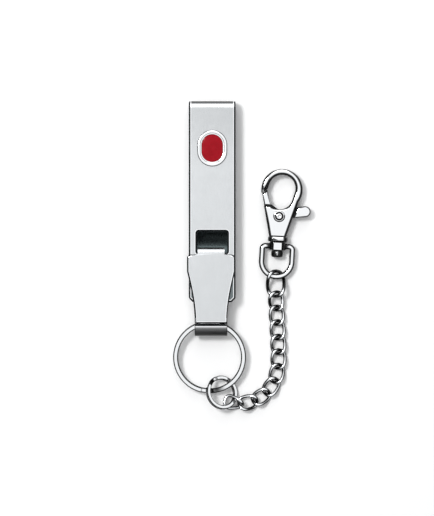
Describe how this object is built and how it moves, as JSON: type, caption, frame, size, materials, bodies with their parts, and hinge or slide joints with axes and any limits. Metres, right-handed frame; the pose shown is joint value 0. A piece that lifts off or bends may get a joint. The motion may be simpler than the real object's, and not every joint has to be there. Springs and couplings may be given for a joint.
{
  "type": "belt key clip",
  "caption": "Belt clip of bent spring steel with a latched key holder, split ring, small ring, twisted link chain and swivel snap hook",
  "frame": {"origin": "centre of the flat rear face of the back leg", "axes": "+Z out of the front face, +Y to the top of the clip, +X to the side where the snap hook lies"},
  "size_m": [0.0471, 0.106, 0.0085],
  "materials": {
    "satin_steel": "satin brushed spring steel",
    "chrome": "polished nickel plate",
    "badge_rim": "polished",
    "enamel": "gloss red enamel",
    "spring_wire": "drawn spring wire"
  },
  "bodies": {
    "belt_clip": {"belt_clip": "satin_steel", "badge_rim": "badge_rim", "badge_enamel": "enamel"},
    "key_holder": {"ring_loop": "satin_steel"},
    "latch": {"latch_tab": "satin_steel"},
    "key_ring": {"split_ring": "chrome"},
    "small_ring": {"chain_ring": "chrome"},
    "link_01": {"chain_link_01": "chrome"},
    "link_02": {"chain_link_02": "chrome"},
    "link_03": {"chain_link_03": "chrome"},
    "link_04": {"chain_link_04": "chrome"},
    "link_05": {"chain_link_05": "chrome"},
    "link_06": {"chain_link_06": "chrome"},
    "link_07": {"chain_link_07": "chrome"},
    "link_08": {"chain_link_08": "chrome"},
    "link_09": {"chain_link_09": "chrome"},
    "link_10": {"chain_link_10": "chrome"},
    "connector": {"connector_link": "chrome"},
    "eye": {"swivel_eye": "chrome"},
    "hook": {"hook_body": "chrome", "gate_rivet": "chrome", "gate_spring": "spring_wire"},
    "gate": {"gate_lever": "chrome"}
  },
  "joints": [
    {"name": "holder_slide", "type": "slide", "parent": "belt_clip", "child": "key_holder", "axis": [0, 1, 0], "range_m": [0, 0.004]},
    {"name": "latch_flex", "type": "hinge", "parent": "key_holder", "child": "latch", "pos_m": [0, -0.0533, 0.0046], "axis": [1, 0, 0], "range_deg": [0, 5], "stiffness_Nm_per_rad": 0.05},
    {"name": "key_ring_swing", "type": "hinge", "parent": "key_holder", "child": "key_ring", "pos_m": [0, -0.0533, 0.0046], "axis": [1, 0, 0], "range_deg": [-80, 110]},
    {"name": "small_ring_swing", "type": "hinge", "parent": "key_ring", "child": "small_ring", "pos_m": [0.00367, -0.07443, 0.00309], "axis": [0.9135, 0.4058, 0.028], "range_deg": [-75, 75]},
    {"name": "link_01_swing", "type": "hinge", "parent": "small_ring", "child": "link_01", "pos_m": [0.00646, -0.08033, 0.00293], "axis": [0.6453, 0.5937, -0.4807], "range_deg": [-25, 40]},
    {"name": "link_02_bend", "type": "hinge", "parent": "link_01", "child": "link_02", "pos_m": [0.00986, -0.0803, 0.00237], "axis": [0, 0, 1], "range_deg": [-45, 1]},
    {"name": "link_03_lift", "type": "hinge", "parent": "link_02", "child": "link_03", "pos_m": [0.01472, -0.07929, 0.00176], "axis": [0.5621, -0.8271, 0], "range_deg": [-25, 25]},
    {"name": "link_04_bend", "type": "hinge", "parent": "link_03", "child": "link_04", "pos_m": [0.01884, -0.07647, 0.0015], "axis": [0, 0, -1], "range_deg": [0, 46]},
    {"name": "link_05_lift", "type": "hinge", "parent": "link_04", "child": "link_05", "pos_m": [0.02158, -0.07229, 0.00163], "axis": [-0.9751, 0.2215, 0], "range_deg": [-25, 25]},
    {"name": "link_06_bend", "type": "hinge", "parent": "link_05", "child": "link_06", "pos_m": [0.02268, -0.06742, 0.00156], "axis": [0, 0, 1], "range_deg": [-35, 5]},
    {"name": "link_07_lift", "type": "hinge", "parent": "link_06", "child": "link_07", "pos_m": [0.02275, -0.06242, 0.00156], "axis": [0.9993, 0.0384, 0], "range_deg": [-25, 25]},
    {"name": "link_08_bend", "type": "hinge", "parent": "link_07", "child": "link_08", "pos_m": [0.02255, -0.05742, 0.00156], "axis": [0, 0, -1], "range_deg": [-5, 24]},
    {"name": "link_09_lift", "type": "hinge", "parent": "link_08", "child": "link_09", "pos_m": [0.02228, -0.05243, 0.00156], "axis": [-0.9984, -0.0558, 0], "range_deg": [-25, 25]},
    {"name": "link_10_bend", "type": "hinge", "parent": "link_09", "child": "link_10", "pos_m": [0.022, -0.04744, 0.00157], "axis": [0, 0, 1], "range_deg": [-23, 5]},
    {"name": "connector_lift", "type": "hinge", "parent": "link_10", "child": "connector", "pos_m": [0.02173, -0.04263, 0.00272], "axis": [-0.9999, 0.014, 0], "range_deg": [-25, 25]},
    {"name": "eye_swing", "type": "hinge", "parent": "connector", "child": "eye", "pos_m": [0.02181, -0.03668, 0.0026], "axis": [0.9986, -0.0523, 0], "range_deg": [-20, 30]},
    {"name": "hook_swivel", "type": "hinge", "parent": "eye", "child": "hook", "pos_m": [0.02235, -0.02629, 0.0026], "axis": [0.0523, 0.9986, 0], "continuous": true},
    {"name": "gate_open", "type": "hinge", "parent": "hook", "child": "gate", "pos_m": [0.02289, -0.01601, 0.0026], "axis": [0, 0, -1], "range_deg": [0, 24], "stiffness_Nm_per_rad": 0.01, "springref_deg": -17.19}
  ]
}
